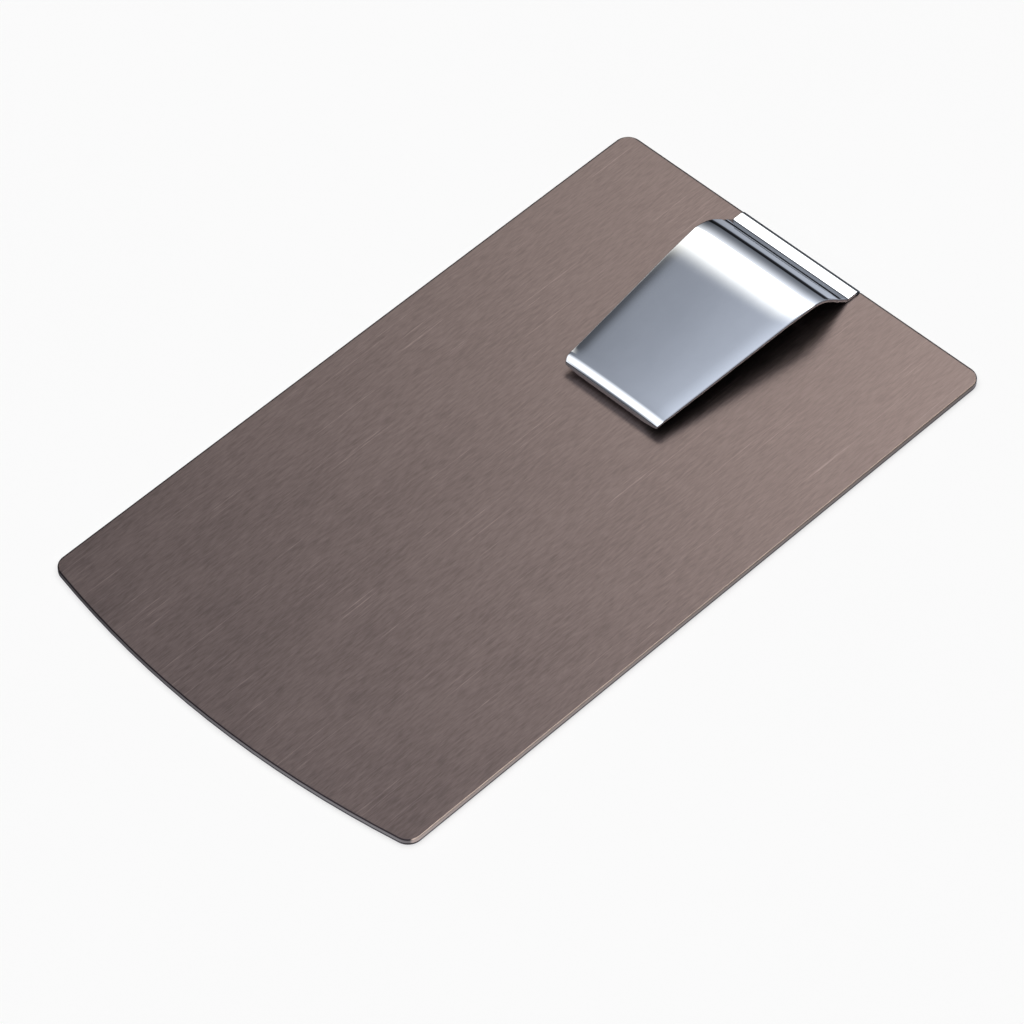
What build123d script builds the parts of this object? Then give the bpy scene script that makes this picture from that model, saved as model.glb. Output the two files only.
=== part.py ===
from build123d import *
import math
import os

# Money clip: a flat plate the size of a folded banknote, with one formed spring-steel clip wrapped round its
# straight back edge and riveted underneath.
# X runs across the plate, +Y towards the edge that carries the clip, +Z up from the surface it lies on.
# The origin is the middle of the plate's bounding box, on the underside.

# ---- plate ----
PLATE_WIDTH = 60.0
PLATE_SIDE = 99.7            # length of each straight long edge
FRONT_BOW = 3.2              # how far the front edge arcs out beyond its two corners
PLATE_THICKNESS = 1.0
CORNER_RADIUS = 2.0
EDGE_EASE = 0.2              # rounding along the plate's top and bottom outlines

# ---- spring sheet ----
SHEET = 0.5                  # thickness
CLIP_WIDTH = 19.5            # from the lower leg to the crest
TIP_WIDTH = 15.8
TIP_CORNER = 0.5             # plan radius of the leaf's two front corners
TAPER_LENGTH = 25.4          # from the tip back to where the clip reaches its full width
SHEET_EASE = 0.1             # rounding along the edges of the lower leg
SLOPE_ANGLE = 40.0           # how steeply the back of the arch rises
CREASE_RADIUS = 0.65         # bend radii here and below are to the middle of the sheet
CREST_RADIUS = 5.75
SHOULDER_RADIUS = 70.0       # the leaf leaves the crest in a long, gentle bend
SHOULDER_TURN = 4.5          # degrees
BROW_RADIUS = 1.6            # the leaf turns down into the curl of the tip
BROW_TURN = 45.0
CURL_RADIUS = 0.6
CREST_HEIGHT = 5.6           # highest point of the closed clip
STRIP_DEPTH = 2.45           # from the back of the wrap bend to the crease
TIP_FRONT_Y = 16.6           # foremost point of the curled tip
TIP_GAP = 0.05               # closed clip, between the curl and the plate
HEM_RETURN = 0.6             # straight part of the hem, tucked back under the leaf
HEM_INSET = 2.0              # the hem stops this far short of each side of the tip
LEG_LENGTH = 13.5            # lower leg, from the back of the wrap bend
LEG_CORNER = 2.0

# ---- fits ----
WEB_CLEARANCE = 0.02         # between the plate's back web and the clip's moving strip
LEG_CLEARANCE = 0.1          # round the lower leg in its recess
FLEX_GAP = 0.02              # where the sheet is parted at its flexing line

# ---- rivets ----
RIVET_SPACING = 11.0
RIVET_BACK = 8.5             # from the plate's back edge
RIVET_RADIUS = 0.8
RIVET_HOLE_CLEARANCE = 0.02
HEAD_RADIUS = 1.6
HEAD_HEIGHT = 0.45
SINK_RADIUS = 1.35           # countersunk lower head, flush with the leg
SINK_DEPTH = 0.3

# ---- derived places ----
BACK_Y = (PLATE_SIDE + FRONT_BOW) / 2
FRONT_CORNER_Y = BACK_Y - PLATE_SIDE
WEB_THICKNESS = PLATE_THICKNESS - SHEET
WRAP_INNER = (WEB_THICKNESS + WEB_CLEARANCE) / 2
WRAP_RADIUS = WRAP_INNER + SHEET / 2
WRAP_Y = BACK_Y - WRAP_INNER - SHEET
WRAP_Z = SHEET + WRAP_INNER
WEB_BACK_Y = WRAP_Y - WEB_CLEARANCE
RIVET_Y = BACK_Y - RIVET_BACK
LEG_FRONT_Y = BACK_Y - LEG_LENGTH
ABOVE_ALL = CREST_HEIGHT + 5.0


def heading(angle):
    """Unit vector in the side view: first value along Y, second along Z."""
    return Vector(math.cos(math.radians(angle)), math.sin(math.radians(angle)))


def leaf_steps():
    """Bends and straights of the moving part of the clip, from the flexing line to the end of the hem.

    Each step is (straight length,) or (bend radius, bend angle), positive angles turning left.
    """
    crease_y = BACK_Y - STRIP_DEPTH
    strip_z = WRAP_Z + WRAP_RADIUS
    rise = math.radians(SLOPE_ANGLE)
    crest_z = CREST_HEIGHT - SHEET / 2 - CREST_RADIUS
    slope_top_z = crest_z + CREST_RADIUS * math.cos(rise)
    slope_run = (slope_top_z - strip_z) / math.sin(rise)
    crest_y = crease_y - slope_run * math.cos(rise) - CREST_RADIUS * math.sin(rise)

    # the leaf is straight between its shoulder and its brow, and falls by the angle that lets the arcs on
    # either side reach the crest and the curl: `sideways` is the shift they make across the leaf
    curl_outer = CURL_RADIUS + SHEET / 2
    curl_y = TIP_FRONT_Y + curl_outer
    curl_z = PLATE_THICKNESS + TIP_GAP + curl_outer
    shoulder, brow = math.radians(SHOULDER_TURN), math.radians(BROW_TURN)
    shoulder_reach, brow_reach = SHOULDER_RADIUS - CREST_RADIUS, BROW_RADIUS - CURL_RADIUS
    sideways = (SHOULDER_RADIUS - BROW_RADIUS - shoulder_reach * math.cos(shoulder)
                + brow_reach * math.cos(brow))
    centres = math.hypot(crest_y - curl_y, crest_z - curl_z)
    fall = math.asin(sideways / centres) + math.atan2(crest_z - curl_z, crest_y - curl_y)
    leaf_run = (math.sqrt(centres ** 2 - sideways ** 2) - shoulder_reach * math.sin(shoulder)
                - brow_reach * math.sin(brow))

    crease_trim = CREASE_RADIUS * math.tan(rise / 2)
    return [
        (WRAP_RADIUS, 90.0),
        (WRAP_Y - crease_y - crease_trim,),
        (CREASE_RADIUS, -SLOPE_ANGLE),
        (slope_run - crease_trim,),
        (CREST_RADIUS, SLOPE_ANGLE + math.degrees(fall) - SHOULDER_TURN),
        (SHOULDER_RADIUS, SHOULDER_TURN),
        (leaf_run,),
        (BROW_RADIUS, BROW_TURN),
        (CURL_RADIUS, 180.0 - BROW_TURN),
        (HEM_RETURN,),
    ]


def sheet_edge(start, angle, steps, side):
    """One surface of the bent sheet in side view, `side` to the left of its middle line."""
    at = start + heading(angle + 90.0) * side
    edges = []
    for step in steps:
        if len(step) == 1:
            edges.append(Line(at, at + heading(angle) * step[0]))
        else:
            radius, turn = step
            reach = radius - math.copysign(side, turn * side)
            edges.append(JernArc(at, heading(angle), reach, turn))
            angle += turn
        at = edges[-1] @ 1
    return edges


def bent_sheet(start, angle, steps, width):
    """Sheet of constant width, bent along `steps` and centred on X = 0."""
    left = sheet_edge(start, angle, steps, SHEET / 2)
    right = sheet_edge(start, angle, steps, -SHEET / 2)
    ends = [Line(left[0] @ 0, right[0] @ 0), Line(left[-1] @ 1, right[-1] @ 1)]
    profile = make_face(Wire(left + right + ends))
    return extrude(Plane.YZ * profile, amount=width / 2, both=True)


def rivet_places():
    return [("rivet_left", -RIVET_SPACING / 2), ("rivet_right", RIVET_SPACING / 2)]


def leg_outline(margin):
    """Plan of the lower leg, grown by `margin`, with its back end running out past the plate."""
    half = CLIP_WIDTH / 2 + margin
    front = LEG_FRONT_Y - margin
    back = BACK_Y + LEG_LENGTH
    outline = Pos(0, (front + back) / 2) * Rectangle(2 * half, back - front)
    return fillet(outline.vertices().sort_by(Axis.Y)[:2], LEG_CORNER + margin)


def base_plate():
    """Flat plate with a bowed front edge, a recess for the lower leg and a notch for the wrap bend."""
    half = PLATE_WIDTH / 2
    back_left, back_right = (-half, BACK_Y), (half, BACK_Y)
    front_left, front_right = (-half, FRONT_CORNER_Y), (half, FRONT_CORNER_Y)
    outline = make_face([
        Line(front_left, back_left),
        Line(back_left, back_right),
        Line(back_right, front_right),
        ThreePointArc(front_right, (0, FRONT_CORNER_Y - FRONT_BOW), front_left),
    ])
    outline = fillet(outline.vertices(), CORNER_RADIUS)
    plate = extrude(outline, PLATE_THICKNESS)
    rims = plate.edges().group_by(Axis.Z)
    plate = fillet(rims[0] + rims[-1], EDGE_EASE)
    plate -= extrude(leg_outline(LEG_CLEARANCE), SHEET)
    notch_width = CLIP_WIDTH + 2 * LEG_CLEARANCE
    notch_depth = BACK_Y - WEB_BACK_Y
    plate -= Pos(0, WEB_BACK_Y + notch_depth, PLATE_THICKNESS / 2) * Box(
        notch_width, 2 * notch_depth, 2 * PLATE_THICKNESS)
    for _, x in rivet_places():
        plate -= Pos(x, RIVET_Y) * extrude(Circle(RIVET_RADIUS + RIVET_HOLE_CLEARANCE), PLATE_THICKNESS)
    return plate


def clip_anchor():
    """Fixed end of the spring sheet: the riveted lower leg and the lower half of the wrap bend."""
    leg_run = WRAP_Y - LEG_FRONT_Y
    steps = [(leg_run,), (WRAP_RADIUS, 90.0)]
    sheet = bent_sheet(Vector(LEG_FRONT_Y, WRAP_Z - WRAP_RADIUS), 0.0, steps, CLIP_WIDTH)
    sheet &= extrude(leg_outline(0.0), ABOVE_ALL)
    outside = sheet.faces().sort_by(Axis.Z)[0].edges() + sheet.faces().sort_by(Axis.Y)[-1].edges()
    rim = [edge for edge in outside if abs(edge.center().X) > SHEET or edge.center().Y < RIVET_Y]
    sheet = fillet(rim, SHEET_EASE)
    sheet -= Pos(0, BACK_Y, WRAP_Z) * Box(2 * CLIP_WIDTH, 4 * SHEET, FLEX_GAP)
    for _, x in rivet_places():
        sheet -= Pos(x, RIVET_Y) * rivet_tail(RIVET_HOLE_CLEARANCE)
    return sheet


def clip_leaf():
    """Moving end of the spring sheet: upper wrap bend, strip, crease, arch, tapering leaf and hemmed tip."""
    start = Vector(WRAP_Y + WRAP_RADIUS, WRAP_Z)
    sheet = bent_sheet(start, 90.0, leaf_steps(), CLIP_WIDTH)
    sheet -= Pos(0, BACK_Y, WRAP_Z) * Box(2 * CLIP_WIDTH, 4 * SHEET, FLEX_GAP)

    taper_y = TIP_FRONT_Y + TAPER_LENGTH
    wide, narrow = CLIP_WIDTH / 2, TIP_WIDTH / 2
    plan = make_face(Polyline(
        (narrow, TIP_FRONT_Y), (wide, taper_y), (wide, BACK_Y + SHEET),
        (-wide, BACK_Y + SHEET), (-wide, taper_y), (-narrow, TIP_FRONT_Y), close=True))
    plan = fillet(plan.vertices().sort_by(Axis.Y)[:2], TIP_CORNER)
    sheet &= extrude(plan, ABOVE_ALL)

    # the hem is narrower than the curl above it, so both lower corners are relieved
    curl_outer = CURL_RADIUS + SHEET / 2
    curl_z = PLATE_THICKNESS + TIP_GAP + curl_outer
    relief_depth = 2 * (2 * curl_outer + HEM_RETURN)
    relief_x = narrow - HEM_INSET + narrow / 2
    for side in (-1, 1):
        sheet -= Pos(side * relief_x, TIP_FRONT_Y, curl_z / 2) * Box(narrow, relief_depth, curl_z)
    return sheet


def rivet_tail(margin):
    """Shank and countersunk lower head, from the underside up to the plate's top face."""
    sink = extrude(Circle(SINK_RADIUS + margin), SINK_DEPTH, taper=math.degrees(
        math.atan2(SINK_RADIUS - RIVET_RADIUS, SINK_DEPTH)))
    return sink + extrude(Circle(RIVET_RADIUS + margin), PLATE_THICKNESS)


def rivet(x):
    """Flush below, low dome above."""
    ball_radius = (HEAD_RADIUS ** 2 + HEAD_HEIGHT ** 2) / (2 * HEAD_HEIGHT)
    ball = Pos(0, 0, PLATE_THICKNESS + HEAD_HEIGHT - ball_radius) * Sphere(ball_radius)
    dome = ball & Pos(0, 0, PLATE_THICKNESS) * extrude(Circle(2 * HEAD_RADIUS), 2 * HEAD_HEIGHT)
    return Pos(x, RIVET_Y) * (rivet_tail(0.0) + dome)


def main():
    os.makedirs("parts", exist_ok=True)
    nodes = {"base_plate": base_plate(), "clip_anchor": clip_anchor(), "clip_leaf": clip_leaf()}
    for name, x in rivet_places():
        nodes[name] = rivet(x)
    for name, shape in nodes.items():
        export_step(shape, f"parts/{name}.step")
    print(f"flexing line: y {BACK_Y:.3f} mm, z {WRAP_Z:.3f} mm")


main()
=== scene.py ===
import math

import bmesh
import bpy
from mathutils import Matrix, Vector


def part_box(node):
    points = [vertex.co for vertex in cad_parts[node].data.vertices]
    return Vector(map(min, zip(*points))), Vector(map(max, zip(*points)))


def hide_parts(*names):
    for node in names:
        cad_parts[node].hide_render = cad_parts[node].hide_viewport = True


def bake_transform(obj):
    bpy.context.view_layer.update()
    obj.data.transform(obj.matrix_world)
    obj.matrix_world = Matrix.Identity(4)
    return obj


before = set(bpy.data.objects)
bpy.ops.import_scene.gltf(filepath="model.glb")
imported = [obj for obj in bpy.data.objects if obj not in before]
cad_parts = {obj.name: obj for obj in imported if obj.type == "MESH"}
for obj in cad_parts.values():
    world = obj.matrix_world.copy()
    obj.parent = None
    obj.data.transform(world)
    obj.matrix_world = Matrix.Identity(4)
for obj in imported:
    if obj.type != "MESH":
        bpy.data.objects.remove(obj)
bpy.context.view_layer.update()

MM = 0.001

# ---- camera ----
CAMERA_AZIMUTH = 44.11       # degrees, 0 looks along +Y
CAMERA_ELEVATION = 49.64
CAMERA_DISTANCE = 0.6905
CAMERA_TARGET = (3.05 * MM, -3.77 * MM, 0.0)
CAMERA_LENS = 201.9          # in mm, as the sensor is
CAMERA_SENSOR = 36.0
CAMERA_NEAR = 0.01           # nothing nearer than this is drawn

# ---- the sprung sheet: the CAD's side view, with a press line, a crown and rolled edges added ----
SHEET = 0.5 * MM
STRIP_DEPTH = 2.45 * MM      # from the back of the wrap bend to the crease
SLOPE_ANGLE = 40.0           # angles and turns are in degrees
WRAP_RADIUS = 0.51 * MM      # radii are to the middle of the sheet
CREASE_RADIUS = 0.65 * MM
PRESS_PLACE = 1.40 * MM      # the press line across the slope: how far up it begins,
PRESS_RADIUS = 0.55 * MM     # and its ripple, first flatter than the slope and then as much steeper
PRESS_TURN = 11.0
PRESS_FLAT = 0.40 * MM
CREST_RADIUS = 5.75 * MM
SHOULDER_RADIUS = 70.0 * MM
SHOULDER_TURN = 4.5
BROW_RADIUS = 1.6 * MM
BROW_TURN = 45.0
CURL_RADIUS = 0.6 * MM
HEM_RETURN = 0.6 * MM
HEM_INSET = 2.0 * MM         # how far the hem is drawn in at each side
TIP_GAP = 0.05 * MM          # closed clip, between the curl and the plate
TIP_WIDTH = 15.8 * MM
TIP_CORNER = 0.25 * MM       # how far the leaf's front corners are rounded in
CORNER_HEADINGS = (200.0, 260.0)         # between which headings of the sheet that happens
HEM_HEADINGS = (256.0, 290.0)            # and between which the hem is drawn in
TAPER_LENGTH = 25.4 * MM
EDGE_EASE = 0.12 * MM        # rounding along the cut edges
CROWN = 0.12 * MM            # how far the leaf's long edges fall below its middle line
TIP_FADE = 2.5 * MM          # the crown dies out over this much of the tip
CREST_FADE = 5.0 * MM        # and over this much of the slope behind the crest
EDGE_ROLL = 0.055 * MM       # how far the last stretch beside each long edge is rolled down as well
EDGE_ROLL_WIDTH = 1.9 * MM

# ---- finishes: linear colours ----
PLATE_DARK = (0.096, 0.074, 0.071)
PLATE_LIGHT = (0.143, 0.111, 0.105)
PLATE_EDGE_SHADE = (0.030, 0.024, 0.026)       # painted shade: the dark colour painted on the eased arris and at the foot of the sides
# painted sheen: the upright sides are painted brighter than the face
PLATE_SIDE_SHEEN = (0.225, 0.197, 0.183)
PLATE_PAINTED_HIGHLIGHT = (0.430, 0.335, 0.280)       # painted highlight: the side towards +X, painted brighter
HIGHLIGHT_ALONG = [(-52.0, 1.50), (-40.0, 1.10), (0.0, 0.72), (52.0, 0.45)]   # its strength by place in Y, in mm
LOW_SIDE_SHADE = (0.46 * MM, 0.33 * MM)       # painted shade: the side is painted darker from one height down to the other
BACK_EDGE_SHADE = (51.10 * MM, 51.22 * MM)   # painted shade: a dark line is painted along the back edge between these places
LEFT_EDGE_SHADE = (-29.70 * MM, -29.78 * MM)                                 # and along the left one
HIGHLIGHT_SIDE = (29.50 * MM, 29.75 * MM)     # and the painted highlight on the side begins between these
FACE_TILT = (0.93, 0.999)    # a normal's share of Z, from the arris to the flat face
SIDE_TILT = (0.45, 0.10)     # and from the arris to the upright side
PLATE_FINE = (8200.0, 760.0, 8200.0)     # noise features to the metre along X, Y and Z
PLATE_STREAK = (3000.0, 360.0, 3000.0)
PLATE_CLOUD = (160.0, 60.0, 160.0)
PLATE_HAIRLINE = (5200.0, 55.0, 5200.0)
STREAK_SHARE = 0.5           # of the streaks in the grain
CLOUD_SHARE = 0.20           # of the clouds in the colour
WARMTH_RANGE = (0.38, 0.62)  # the noise values that give the dark and the light colour
SCRATCH_RANGE = (0.76, 0.80)             # and those where a hairline scratch begins and is full
SCRATCH_GAIN = 1.35          # how much brighter than the brushing it is
PLATE_ROUGHNESS = (0.33, 0.41)
PLATE_DRIFT = (-0.02, 0.02)  # how far the clouds shift the roughness
PLATE_ANISOTROPY = 0.5
PLATE_BUMP = (0.5, 0.012 * MM)           # each bump is a strength and a depth
CHROME_DARK = (0.572, 0.593, 0.625)
CHROME_LIGHT = (0.614, 0.635, 0.667)
# painted shade: share of the plating's brightness by place in Y, in mm, painted less in the crease and
# outside the wrap bend
CHROME_SHADE_ALONG = [(48.00, 1.0), (48.82, 1.0), (48.95, 0.72), (49.15, 0.72), (49.26, 1.0), (50.58, 1.0),
               (50.78, 0.40)]
CHROME_HAZE = (140.0, 90.0, 140.0)
CHROME_LINES = (5000.0, 120.0, 900.0)
CHROME_SWAY = (70.0, 45.0, 70.0)
HAZE_RANGE = (0.35, 0.75)    # the haze values that give the least and the most roughness
CHROME_ROUGHNESS = (0.035, 0.06)
LINE_RANGE = (0.5, 0.8)      # and the same of the polishing lines, which add to it
LINE_ROUGHNESS = (0.0, 0.02)
CHROME_WAVE = (0.2, 0.004 * MM)
CHROME_SCRATCH = (0.03, 0.001 * MM)
RIVET_DARK = (0.50, 0.50, 0.51)
RIVET_LIGHT = (0.66, 0.66, 0.67)
RIVET_SPECK = (2500.0, 2500.0, 2500.0)
RIVET_ROUGHNESS = (0.2, 0.34)
RIVET_BUMP = (0.2, 0.004 * MM)
NOISE_ROUGHNESS = 0.6
NOISE_RANGE = (0.3, 0.7)     # nearly all of a noise's values lie between these

# ---- studio ----
SKY_TINT = (0.94, 1.0, 1.13)
# radiance by the height of a direction, 0 at the horizon, and what it is multiplied by
# as the direction points to -X or +X
SKY_BY_HEIGHT = [(-1.0, 0.54), (-0.33, 0.50), (-0.20, 0.48), (-0.12, 0.04), (0.0, 0.012), (0.070, 0.014),
                 (0.105, 0.18), (0.30, 0.23), (0.80, 0.47), (1.0, 0.48)]
SKY_ACROSS = [(-0.64, 0.12), (-0.55, 0.32), (-0.50, 0.80), (-0.45, 1.10), (-0.385, 1.62), (-0.30, 2.15),
              (0.30, 1.3), (0.9, 1.6)]
# a lean is how far a direction tips from straight up towards +Y, in degrees
SWEEP_GLOW = 1.35            # radiance of the white sweep behind
SWEEP_START = (38.0, 42.0)   # the leans where it begins and is full
SWEEP_FALL = (41.0, 85.0)    # and those over which it fades towards the horizon
SWEEP_POWER = 2.5            # the fade is steeper at first, by this power
FRONT_GLOW = 1.45            # radiance of the panel in front and overhead
FRONT_RISE = (6.0, -20.0)    # the leans over which it comes up
FRONT_END = (-68.0, -56.0)   # and the leans where it is gone, and where it is still full
FLOOR_HALF = 3.0             # half the floor's side
FLOOR_DROP = 0.02 * MM       # its depth below the plate's underside, so that the two never share a plane
FLOOR_DARK = (0.37, 0.37, 0.37)
FLOOR_LIGHT = (0.38, 0.38, 0.38)
FLOOR_MOTTLE = (12.0, 12.0, 12.0)
FLOOR_ROUGHNESS = 0.9
FLOOR_GLOW = 0.575           # light of the floor's own, rather more than it throws back
FLOOR_GAIN = 0.38            # what it gains in glow far from the object, where the overhead light falls off
FLOOR_REACH = (0.45, 2.0)
SOFTBOX_GLOW = 4.0
SOFTBOX_TINT = (1.0, 0.97, 0.88)
SOFTBOX_HEIGHT = 0.25
SOFTBOX_Y = (0.135, 0.29)     # where the card begins and ends, in metres behind the origin
SOFTBOX_X = (-0.42, 0.12)
SOFTBOX_FADE = 0.08          # how far its near edge takes to come up to full brightness
SOFTBOX_FAR_FADE = 0.05      # and its far edge to go out
SOFTBOX_ACROSS = (-0.32, 0.02)           # from one of these places in X to the other
SOFTBOX_LEVELS = (0.3, 1.7)              # its brightness goes from one of these levels to the other
GLOW_POWER = 4.0             # the card's power for each square metre and each unit of its glow
FILL_HEIGHT = 1.2
FILL_SIZE = (2.0, 2.0)
FILL_POWER = 28.0

# ---- how finely the sheet is meshed ----
BEND_STEP = 2.5              # degrees
STRAIGHT_STEP = 0.6 * MM
FEWEST_STEPS = 2             # along even the shortest stretch
COLUMN_COUNT = 28
EASE_STEPS = 4


# ------------------------------------------------------------------ nodes
def new_material(name):
    material = bpy.data.materials.new(name)
    material.use_nodes = True
    tree = material.node_tree
    tree.nodes.clear()
    shader = tree.nodes.new("ShaderNodeBsdfPrincipled")
    output = tree.nodes.new("ShaderNodeOutputMaterial")
    tree.links.new(shader.outputs[0], output.inputs["Surface"])
    return material, tree, shader


def node(tree, kind, inputs=(), **settings):
    """Adds a node. `inputs` maps an input's name or index to a value or to another node's socket."""
    made = tree.nodes.new(kind)
    for name, value in settings.items():
        setattr(made, name, value)
    for key, value in dict(inputs).items():
        if isinstance(value, bpy.types.NodeSocket):
            tree.links.new(value, made.inputs[key])
        else:
            made.inputs[key].default_value = value
    return made


def math_node(tree, operation, *values):
    return node(tree, "ShaderNodeMath", dict(enumerate(values)), operation=operation).outputs[0]


def remap(tree, value, low, high, to_low=0.0, to_high=1.0, eased=False):
    made = node(tree, "ShaderNodeMapRange", {
        "Value": value, "From Min": low, "From Max": high, "To Min": to_low, "To Max": to_high},
        interpolation_type="SMOOTHSTEP" if eased else "LINEAR")
    return made.outputs["Result"]


def mixed(tree, first, second, share):
    """Two values added, where `second` weighs `share` and `first` the rest."""
    return math_node(tree, "ADD", math_node(tree, "MULTIPLY", first, 1.0 - share),
                     math_node(tree, "MULTIPLY", second, share))


def stops(tree, value, levels):
    """Level by value, straight between the (value, level) pairs of `levels`.

    The curve joins pairs whose values are closer than 0.01, so a place on the object is given in mm.
    """
    curve = node(tree, "ShaderNodeFloatCurve", {"Value": value})
    line = curve.mapping.curves[0]
    curve.mapping.use_clip = False
    curve.mapping.extend = "HORIZONTAL"
    for index, place in enumerate(levels):
        point = line.points[index] if index < 2 else line.points.new(*place)     # a new curve has two points
        point.location = place
        point.handle_type = "VECTOR"
    curve.mapping.update()
    return curve.outputs[0]


def stretched_noise(tree, position, scale, detail):
    """Noise with `scale` features to the metre along each axis."""
    mapping = node(tree, "ShaderNodeMapping", {"Vector": position, "Scale": scale})
    noise = node(tree, "ShaderNodeTexNoise", {
        "Vector": mapping.outputs[0], "Scale": 1.0, "Detail": detail, "Roughness": NOISE_ROUGHNESS})
    return noise.outputs["Fac"]


def bumped(tree, height, strength, depth, **more):
    inputs = {"Strength": strength, "Distance": depth, "Height": height, **more}
    return node(tree, "ShaderNodeBump", inputs).outputs[0]


def blended(tree, factor, first, second):
    """`first` where the factor is 0 and `second` where it is 1: each is a node's socket or four numbers."""
    return node(tree, "ShaderNodeMix", {"Factor": factor, 6: first, 7: second}, data_type="RGBA").outputs[2]


def tint(tree, factor, dark, light):
    return blended(tree, factor, dark + (1.0,), light + (1.0,))


def colour_node(tree, colour):
    made = node(tree, "ShaderNodeRGB")
    made.outputs[0].default_value = colour + (1.0,)
    return made.outputs[0]


def scaled(tree, colour, factor):
    return node(tree, "ShaderNodeVectorMath", {0: colour, "Scale": factor}, operation="SCALE").outputs[0]


# ------------------------------------------------------------------ materials
def brushed_plate_material():
    """Warm grey metal, brushed along Y, with a few hairline scratches; painted shade darkens its eased
    edges, a painted sheen lightens its sides and a painted highlight the side towards +X.
    """
    material, tree, shader = new_material("plate_brushed")
    position = node(tree, "ShaderNodeTexCoord").outputs["Object"]
    fine = stretched_noise(tree, position, PLATE_FINE, detail=2.0)
    streak = stretched_noise(tree, position, PLATE_STREAK, detail=2.0)
    cloud = stretched_noise(tree, position, PLATE_CLOUD, detail=3.0)
    hairline = stretched_noise(tree, position, PLATE_HAIRLINE, detail=0.0)
    grain = mixed(tree, fine, streak, STREAK_SHARE)

    warmth = remap(tree, mixed(tree, grain, cloud, CLOUD_SHARE), *WARMTH_RANGE)
    scratched = remap(tree, hairline, *SCRATCH_RANGE, 1.0, SCRATCH_GAIN)
    brushed = scaled(tree, tint(tree, warmth, PLATE_DARK, PLATE_LIGHT), scratched)

    # painted light: the side towards +X gets a painted highlight, the other sides only the painted sheen,
    # and the arris between side and face is painted dark as shade
    normal = node(tree, "ShaderNodeNewGeometry").outputs["Normal"]
    upward = math_node(tree, "ABSOLUTE", node(tree, "ShaderNodeSeparateXYZ", {0: normal}).outputs[2])
    x, y, z = node(tree, "ShaderNodeSeparateXYZ", {0: position}).outputs
    # painted shade: dark lines along the back and left edges of the face
    back_edge_shade = remap(tree, y, *BACK_EDGE_SHADE, 1.0, 0.0, eased=True)
    left_edge_shade = remap(tree, x, *LEFT_EDGE_SHADE, 1.0, 0.0, eased=True)
    face = math_node(tree, "MINIMUM", remap(tree, upward, *FACE_TILT, eased=True),
                     math_node(tree, "MINIMUM", back_edge_shade, left_edge_shade))
    side = remap(tree, upward, *SIDE_TILT, eased=True)
    # painted highlight on the side towards +X, strongest towards -Y
    highlight_side = remap(tree, x, *HIGHLIGHT_SIDE, eased=True)
    highlight_strength = stops(tree, math_node(tree, "DIVIDE", y, MM), HIGHLIGHT_ALONG)
    # painted shade: the foot of each side is painted dark
    low = remap(tree, z, *LOW_SIDE_SHADE, eased=True)
    # painted light and shade of the edges: sheen on the sides, shade on the arris and the foot
    edge_light_and_shade = blended(tree, side, colour_node(tree, PLATE_EDGE_SHADE), colour_node(tree, PLATE_SIDE_SHEEN))
    edge_light_and_shade = blended(tree, highlight_side, edge_light_and_shade, scaled(tree, colour_node(tree, PLATE_PAINTED_HIGHLIGHT), highlight_strength))
    edge_light_and_shade = blended(tree, low, edge_light_and_shade, colour_node(tree, PLATE_EDGE_SHADE))
    tree.links.new(blended(tree, face, edge_light_and_shade, brushed), shader.inputs["Base Color"])
    shader.inputs["Metallic"].default_value = 1.0

    rough = math_node(tree, "ADD", remap(tree, grain, *NOISE_RANGE, *PLATE_ROUGHNESS),
                      remap(tree, cloud, *NOISE_RANGE, *PLATE_DRIFT))
    tree.links.new(rough, shader.inputs["Roughness"])
    shader.inputs["Anisotropic"].default_value = PLATE_ANISOTROPY
    tangent = node(tree, "ShaderNodeCombineXYZ", {0: 0.0, 1: 1.0, 2: 0.0})
    tree.links.new(tangent.outputs[0], shader.inputs["Tangent"])

    tree.links.new(bumped(tree, grain, *PLATE_BUMP), shader.inputs["Normal"])
    return material


def chrome_material():
    """Mirror-polished plating with faint polishing lines, a little handling haze, and painted shade in the
    crease and round the plate's edge.
    """
    material, tree, shader = new_material("clip_chrome")
    position = node(tree, "ShaderNodeTexCoord").outputs["Object"]
    haze = stretched_noise(tree, position, CHROME_HAZE, detail=4.0)
    lines = stretched_noise(tree, position, CHROME_LINES, detail=2.0)
    sway = stretched_noise(tree, position, CHROME_SWAY, detail=1.0)

    # painted shade: the plating is painted darker round the plate's edge and in the crease
    _, y, _ = node(tree, "ShaderNodeSeparateXYZ", {0: position}).outputs
    colour = tint(tree, remap(tree, haze, *NOISE_RANGE), CHROME_DARK, CHROME_LIGHT)
    chrome_shade = stops(tree, math_node(tree, "DIVIDE", y, MM), CHROME_SHADE_ALONG)
    tree.links.new(scaled(tree, colour, chrome_shade), shader.inputs["Base Color"])
    tree.links.new(chrome_shade, shader.inputs["Specular Tint"])
    shader.inputs["Metallic"].default_value = 1.0
    rough = math_node(tree, "ADD", remap(tree, haze, *HAZE_RANGE, *CHROME_ROUGHNESS),
                      remap(tree, lines, *LINE_RANGE, *LINE_ROUGHNESS))
    tree.links.new(rough, shader.inputs["Roughness"])

    wave = bumped(tree, sway, *CHROME_WAVE)
    tree.links.new(bumped(tree, lines, *CHROME_SCRATCH, Normal=wave), shader.inputs["Normal"])
    return material


def rivet_material():
    """Satin steel with a fine speck, the same in every direction."""
    material, tree, shader = new_material("rivet_steel")
    position = node(tree, "ShaderNodeTexCoord").outputs["Object"]
    speck = stretched_noise(tree, position, RIVET_SPECK, detail=3.0)
    shader.inputs["Metallic"].default_value = 1.0
    tree.links.new(tint(tree, speck, RIVET_DARK, RIVET_LIGHT), shader.inputs["Base Color"])
    tree.links.new(remap(tree, speck, *NOISE_RANGE, *RIVET_ROUGHNESS), shader.inputs["Roughness"])
    tree.links.new(bumped(tree, speck, *RIVET_BUMP), shader.inputs["Normal"])
    return material


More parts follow.
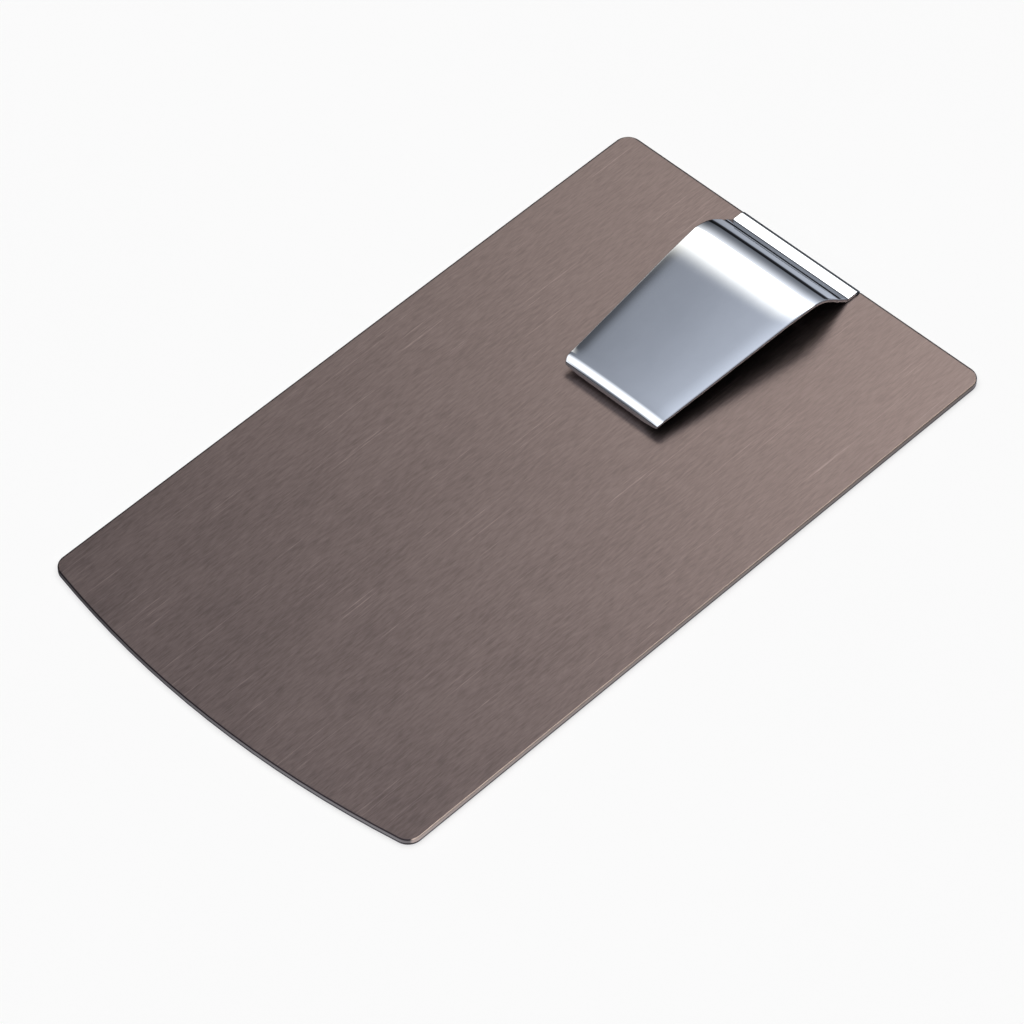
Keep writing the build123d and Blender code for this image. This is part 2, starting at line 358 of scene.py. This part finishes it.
def floor_material():
    """Pale sheet that glows a little of its own, so that the object's shadow on it stays faint."""
    material, tree, shader = new_material("floor_pale")
    position = node(tree, "ShaderNodeTexCoord").outputs["Object"]
    mottle = stretched_noise(tree, position, FLOOR_MOTTLE, detail=3.0)
    tree.links.new(tint(tree, mottle, FLOOR_DARK, FLOOR_LIGHT), shader.inputs["Base Color"])
    shader.inputs["Roughness"].default_value = FLOOR_ROUGHNESS
    shader.inputs["Specular IOR Level"].default_value = 0.0
    shader.inputs["Emission Color"].default_value = (1.0, 1.0, 1.0, 1.0)
    away = node(tree, "ShaderNodeVectorMath", {0: position}, operation="LENGTH").outputs["Value"]
    glow = remap(tree, away, *FLOOR_REACH, FLOOR_GLOW, FLOOR_GLOW + FLOOR_GAIN)
    tree.links.new(glow, shader.inputs["Emission Strength"])
    return material


# ------------------------------------------------------------------ the sprung sheet
def leaf_steps(back_y, tip_y, crest_z, rest_z, wrap):
    """Steps from the back of the wrap bend to the end of the hem.

    Each is a name, the length of a straight stretch or the radius of a bend, and the turn.
    `rest_z` is the lowest point of the curl, and `wrap` the centre of the wrap bend in the side view.
    """
    crease_y = back_y - STRIP_DEPTH
    strip_z = wrap[1] + WRAP_RADIUS
    rise = math.radians(SLOPE_ANGLE)
    crest_centre_z = crest_z - SHEET / 2 - CREST_RADIUS
    slope_run = (crest_centre_z + CREST_RADIUS * math.cos(rise) - strip_z) / math.sin(rise)
    crest_y = crease_y - slope_run * math.cos(rise) - CREST_RADIUS * math.sin(rise)

    # the fall of the leaf follows from the places of the crest and the curl, as in the CAD
    curl_outer = CURL_RADIUS + SHEET / 2
    apart_y, apart_z = crest_y - tip_y - curl_outer, crest_centre_z - rest_z - curl_outer
    shoulder, brow = math.radians(SHOULDER_TURN), math.radians(BROW_TURN)
    shoulder_reach, brow_reach = SHOULDER_RADIUS - CREST_RADIUS, BROW_RADIUS - CURL_RADIUS
    sideways = (SHOULDER_RADIUS - BROW_RADIUS - shoulder_reach * math.cos(shoulder)
                + brow_reach * math.cos(brow))
    centres = math.hypot(apart_y, apart_z)
    fall = math.degrees(math.asin(sideways / centres) + math.atan2(apart_z, apart_y))
    leaf_run = (math.sqrt(centres ** 2 - sideways ** 2) - shoulder_reach * math.sin(shoulder)
                - brow_reach * math.sin(brow))
    trim = CREASE_RADIUS * math.tan(rise / 2)
    press = math.radians(PRESS_TURN)
    press_run = 4 * PRESS_RADIUS * math.sin(press) + 2 * PRESS_FLAT * math.cos(press)
    return [
        ("wrap", WRAP_RADIUS, 90.0),
        ("strip", wrap[0] - crease_y - trim, 0.0),
        ("crease", CREASE_RADIUS, -SLOPE_ANGLE),
        ("slope", PRESS_PLACE, 0.0),
        ("press", PRESS_RADIUS, PRESS_TURN),
        ("press", PRESS_FLAT, 0.0),
        ("press", PRESS_RADIUS, -2 * PRESS_TURN),
        ("press", PRESS_FLAT, 0.0),
        ("press", PRESS_RADIUS, PRESS_TURN),
        ("slope", slope_run - trim - PRESS_PLACE - press_run, 0.0),
        ("crest", CREST_RADIUS, SLOPE_ANGLE + fall - SHOULDER_TURN),
        ("shoulder", SHOULDER_RADIUS, SHOULDER_TURN),
        ("leaf", leaf_run, 0.0),
        ("brow", BROW_RADIUS, BROW_TURN),
        ("curl", CURL_RADIUS, 180.0 - BROW_TURN),
        ("hem", HEM_RETURN, 0.0),
    ]


def walk(y, z, heading, steps):
    """Stations along the middle of the sheet, as (name of the step, y, z, heading in degrees)."""
    stations = [(steps[0][0], y, z, heading)]
    for name, reach, turn in steps:
        length = reach * math.radians(abs(turn)) if turn else reach
        count = max(FEWEST_STEPS, round(abs(turn) / BEND_STEP), round(length / STRAIGHT_STEP))
        side = math.copysign(1.0, turn)
        for i in range(1, count + 1):
            share = i / count
            if turn:
                start, at = math.radians(heading), math.radians(heading + turn * share)
                along = (math.sin(at) - math.sin(start)) * side * reach
                up = (math.cos(start) - math.cos(at)) * side * reach
            else:
                along = math.cos(math.radians(heading)) * reach * share
                up = math.sin(math.radians(heading)) * reach * share
            stations.append((name, y + along, z + up, heading + turn * share))
        y, z, heading = stations[-1][1:]
    return stations


def smooth(share):
    """An even S from 0 to 1, flat below a share of 0 and above 1."""
    share = min(1.0, max(0.0, share))
    return share * share * (3.0 - 2.0 * share)


def share_between(value, start, end):
    return (value - start) / (end - start)


def section(half_width, crown):
    """The sheet's cut section as (x, height) pairs round a closed loop, height 0 at the sheet's middle.

    `crown` is 0 for a flat section and 1 for a fully crowned one.
    """
    half, ease = SHEET / 2, EDGE_EASE
    flat = half_width - ease
    columns = [math.sin(math.pi / 2 * (2 * i / COLUMN_COUNT - 1)) * flat for i in range(COLUMN_COUNT + 1)]
    top = [(-x, half) for x in columns]
    bottom = [(x, -half) for x in columns]
    left, right = [], []
    for i in range(1, 2 * EASE_STEPS):
        angle = math.radians(90.0 + 90.0 * i / EASE_STEPS)
        middle = (half - ease) * (1 if i < EASE_STEPS else -1)
        left.append((-flat + math.cos(angle) * ease, middle + math.sin(angle) * ease))
        right.append((flat - math.cos(angle) * ease, -middle - math.sin(angle) * ease))
    loop = top + left + bottom + right

    def drop(x):
        beside = max(0.0, (abs(x) - half_width) / EDGE_ROLL_WIDTH + 1.0)
        return CROWN * (x / half_width) ** 2 + EDGE_ROLL * beside ** 2

    return [(x, height - crown * drop(x)) for x, height in loop]


def sprung_sheet():
    """Moving end of the clip, from the back of the wrap bend to the hem, as one closed skin."""
    low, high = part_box("clip_leaf")
    plate_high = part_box("base_plate")[1]
    back_y, tip_y = plate_high.y, low.y
    wrap = (high.y - SHEET / 2 - WRAP_RADIUS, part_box("clip_anchor")[0].z + SHEET / 2 + WRAP_RADIUS)
    steps = leaf_steps(back_y, tip_y, high.z, plate_high.z + TIP_GAP, wrap)
    stations = walk(wrap[0] + WRAP_RADIUS, wrap[1], 90.0, steps)
    crease_y = back_y - STRIP_DEPTH

    def half_width(name, y, heading):
        taper = min(1.0, max(0.0, (y - tip_y) / TAPER_LENGTH))
        width = TIP_WIDTH / 2 + (high.x - TIP_WIDTH / 2) * taper
        if name in ("brow", "curl", "hem"):
            width -= TIP_CORNER * smooth(share_between(heading, *CORNER_HEADINGS))
            width -= HEM_INSET * smooth(share_between(heading, *HEM_HEADINGS))
        return width

    def crown(name, y):
        if name in ("curl", "hem", "wrap", "strip", "crease"):
            return 0.0
        return smooth((y - tip_y) / TIP_FADE) * smooth((crease_y - y) / CREST_FADE)

    vertices, faces = [], []
    for name, y, z, heading in stations:
        up = math.radians(heading - 90.0)
        for x, height in section(half_width(name, y, heading), crown(name, y)):
            vertices.append((x, y + math.cos(up) * height, z + math.sin(up) * height))
    ring = len(vertices) // len(stations)
    for row in range(len(stations) - 1):
        for i in range(ring):
            a, b = row * ring + i, row * ring + (i + 1) % ring
            faces.append((a, b, b + ring, a + ring))
    faces.append(tuple(reversed(range(ring))))
    faces.append(tuple(range((len(stations) - 1) * ring, len(stations) * ring)))

    mesh = bpy.data.meshes.new("clip_spring")
    mesh.from_pydata(vertices, [], faces)
    mesh.update()
    piece = bpy.data.objects.new("clip_spring", mesh)
    bpy.context.scene.collection.objects.link(piece)
    finish_normals(piece)
    return piece


def finish_normals(piece):
    work = bmesh.new()
    work.from_mesh(piece.data)
    bmesh.ops.recalc_face_normals(work, faces=work.faces)
    work.to_mesh(piece.data)
    work.free()
    piece.data.shade_smooth()


# ------------------------------------------------------------------ stage
def add_floor():
    mesh = bpy.data.meshes.new("floor")
    signs = ((-1, -1), (1, -1), (1, 1), (-1, 1))
    mesh.from_pydata([(x * FLOOR_HALF, y * FLOOR_HALF, -FLOOR_DROP) for x, y in signs], [], [(0, 1, 2, 3)])
    floor = bpy.data.objects.new("floor", mesh)
    bpy.context.scene.collection.objects.link(floor)
    floor.data.materials.append(floor_material())
    floor.visible_glossy = False             # the metal mirrors the dim lower half of the sky in its place


def add_camera():
    azimuth, elevation = math.radians(CAMERA_AZIMUTH), math.radians(CAMERA_ELEVATION)
    back = Vector((
        math.sin(azimuth) * math.cos(elevation),
        -math.cos(azimuth) * math.cos(elevation),
        math.sin(elevation)))
    data = bpy.data.cameras.new("camera")
    data.lens = CAMERA_LENS
    data.sensor_width = CAMERA_SENSOR
    data.clip_start = CAMERA_NEAR
    camera = bpy.data.objects.new("camera", data)
    camera.location = Vector(CAMERA_TARGET) + back * CAMERA_DISTANCE
    camera.rotation_euler = (-back).to_track_quat("-Z", "Y").to_euler()
    bpy.context.scene.collection.objects.link(camera)
    bpy.context.scene.camera = camera


def add_light(name, place, size, power, glossy=True):
    """A rectangular light at `place`, turned to the origin. The camera never sees it."""
    data = bpy.data.lights.new(name, "AREA")
    data.shape = "RECTANGLE"
    data.size, data.size_y = size
    data.energy = power
    light = bpy.data.objects.new(name, data)
    light.location = place
    light.rotation_euler = (-Vector(place)).to_track_quat("-Z", "Y").to_euler()
    light.visible_camera = False
    light.visible_glossy = glossy
    bpy.context.scene.collection.objects.link(light)
    return light


def add_sky():
    """Soft surroundings: a dark horizon, grey overhead, a white panel in front, and a white sweep behind
    that fades towards the horizon. Rough surfaces take no light from them.
    """
    world = bpy.data.worlds.new("studio")
    bpy.context.scene.world = world
    world.use_nodes = True
    world.cycles_visibility.diffuse = False
    tree = world.node_tree
    tree.nodes.clear()
    direction = node(tree, "ShaderNodeTexCoord").outputs["Generated"]
    x, y, z = node(tree, "ShaderNodeSeparateXYZ", {0: direction}).outputs
    level = math_node(tree, "MULTIPLY", stops(tree, z, SKY_BY_HEIGHT), stops(tree, x, SKY_ACROSS))
    sky = node(tree, "ShaderNodeVectorMath", {0: SKY_TINT, "Scale": level}, operation="SCALE").outputs[0]

    lean = math_node(tree, "DEGREES", math_node(tree, "ARCTAN2", y, z))
    sweep = remap(tree, lean, *SWEEP_START, 0.0, SWEEP_GLOW, eased=True)
    fading = math_node(tree, "POWER", remap(tree, lean, *SWEEP_FALL, 1.0, 0.0), SWEEP_POWER)
    behind = math_node(tree, "MULTIPLY", sweep, fading)
    front = math_node(tree, "MULTIPLY", remap(tree, lean, *FRONT_RISE, 0.0, FRONT_GLOW),
                      remap(tree, lean, *FRONT_END, eased=True))
    level = math_node(tree, "MAXIMUM", behind, front)
    glow = node(tree, "ShaderNodeCombineXYZ", {0: level, 1: level, 2: level})
    total = node(tree, "ShaderNodeVectorMath", {0: sky, 1: glow.outputs[0]}, operation="ADD")
    background = node(tree, "ShaderNodeBackground", {"Color": total.outputs[0], "Strength": 1.0})
    output = node(tree, "ShaderNodeOutputWorld")
    tree.links.new(background.outputs[0], output.inputs["Surface"])


def add_softbox():
    """A near white card above and behind the object, which only the metal mirrors."""
    width, depth = SOFTBOX_X[1] - SOFTBOX_X[0], SOFTBOX_Y[1] - SOFTBOX_Y[0]
    light = add_light("softbox", (sum(SOFTBOX_X) / 2, sum(SOFTBOX_Y) / 2, SOFTBOX_HEIGHT), (width, depth),
                      GLOW_POWER * width * depth * SOFTBOX_GLOW)
    light.rotation_euler = (0.0, 0.0, 0.0)   # it faces straight down
    light.visible_diffuse = False
    light.data.use_nodes = True
    tree = light.data.node_tree
    tree.nodes.clear()
    place = node(tree, "ShaderNodeNewGeometry").outputs["Position"]
    x, y, _ = node(tree, "ShaderNodeSeparateXYZ", {0: place}).outputs
    rise = remap(tree, y, SOFTBOX_Y[0], SOFTBOX_Y[0] + SOFTBOX_FADE, eased=True)
    fall = remap(tree, y, SOFTBOX_Y[1] - SOFTBOX_FAR_FADE, SOFTBOX_Y[1], 1.0, 0.0, eased=True)
    across = remap(tree, x, *SOFTBOX_ACROSS, *SOFTBOX_LEVELS)
    strength = math_node(tree, "MULTIPLY", math_node(tree, "MULTIPLY", rise, fall), across)
    emission = node(tree, "ShaderNodeEmission", {"Color": SOFTBOX_TINT + (1.0,), "Strength": strength})
    output = node(tree, "ShaderNodeOutputLight")
    tree.links.new(emission.outputs[0], output.inputs["Surface"])


def add_studio():
    add_sky()
    add_softbox()
    add_light("overhead_fill", (0.0, 0.0, FILL_HEIGHT), FILL_SIZE, FILL_POWER, glossy=False)
    scene = bpy.context.scene
    scene.view_settings.view_transform = "Standard"
    scene.view_settings.look = "None"


# ------------------------------------------------------------------ assembly
def build():
    chrome = chrome_material()
    for name, material in (("base_plate", brushed_plate_material()), ("clip_anchor", chrome),
                           ("rivet_left", rivet_material()), ("rivet_right", rivet_material())):
        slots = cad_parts[name].data.materials
        slots.clear()
        slots.append(material)

    spring = sprung_sheet()
    spring.data.materials.append(chrome)
    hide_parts("clip_leaf")
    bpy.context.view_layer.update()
    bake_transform(spring)

    add_floor()
    add_studio()
    add_camera()


build()
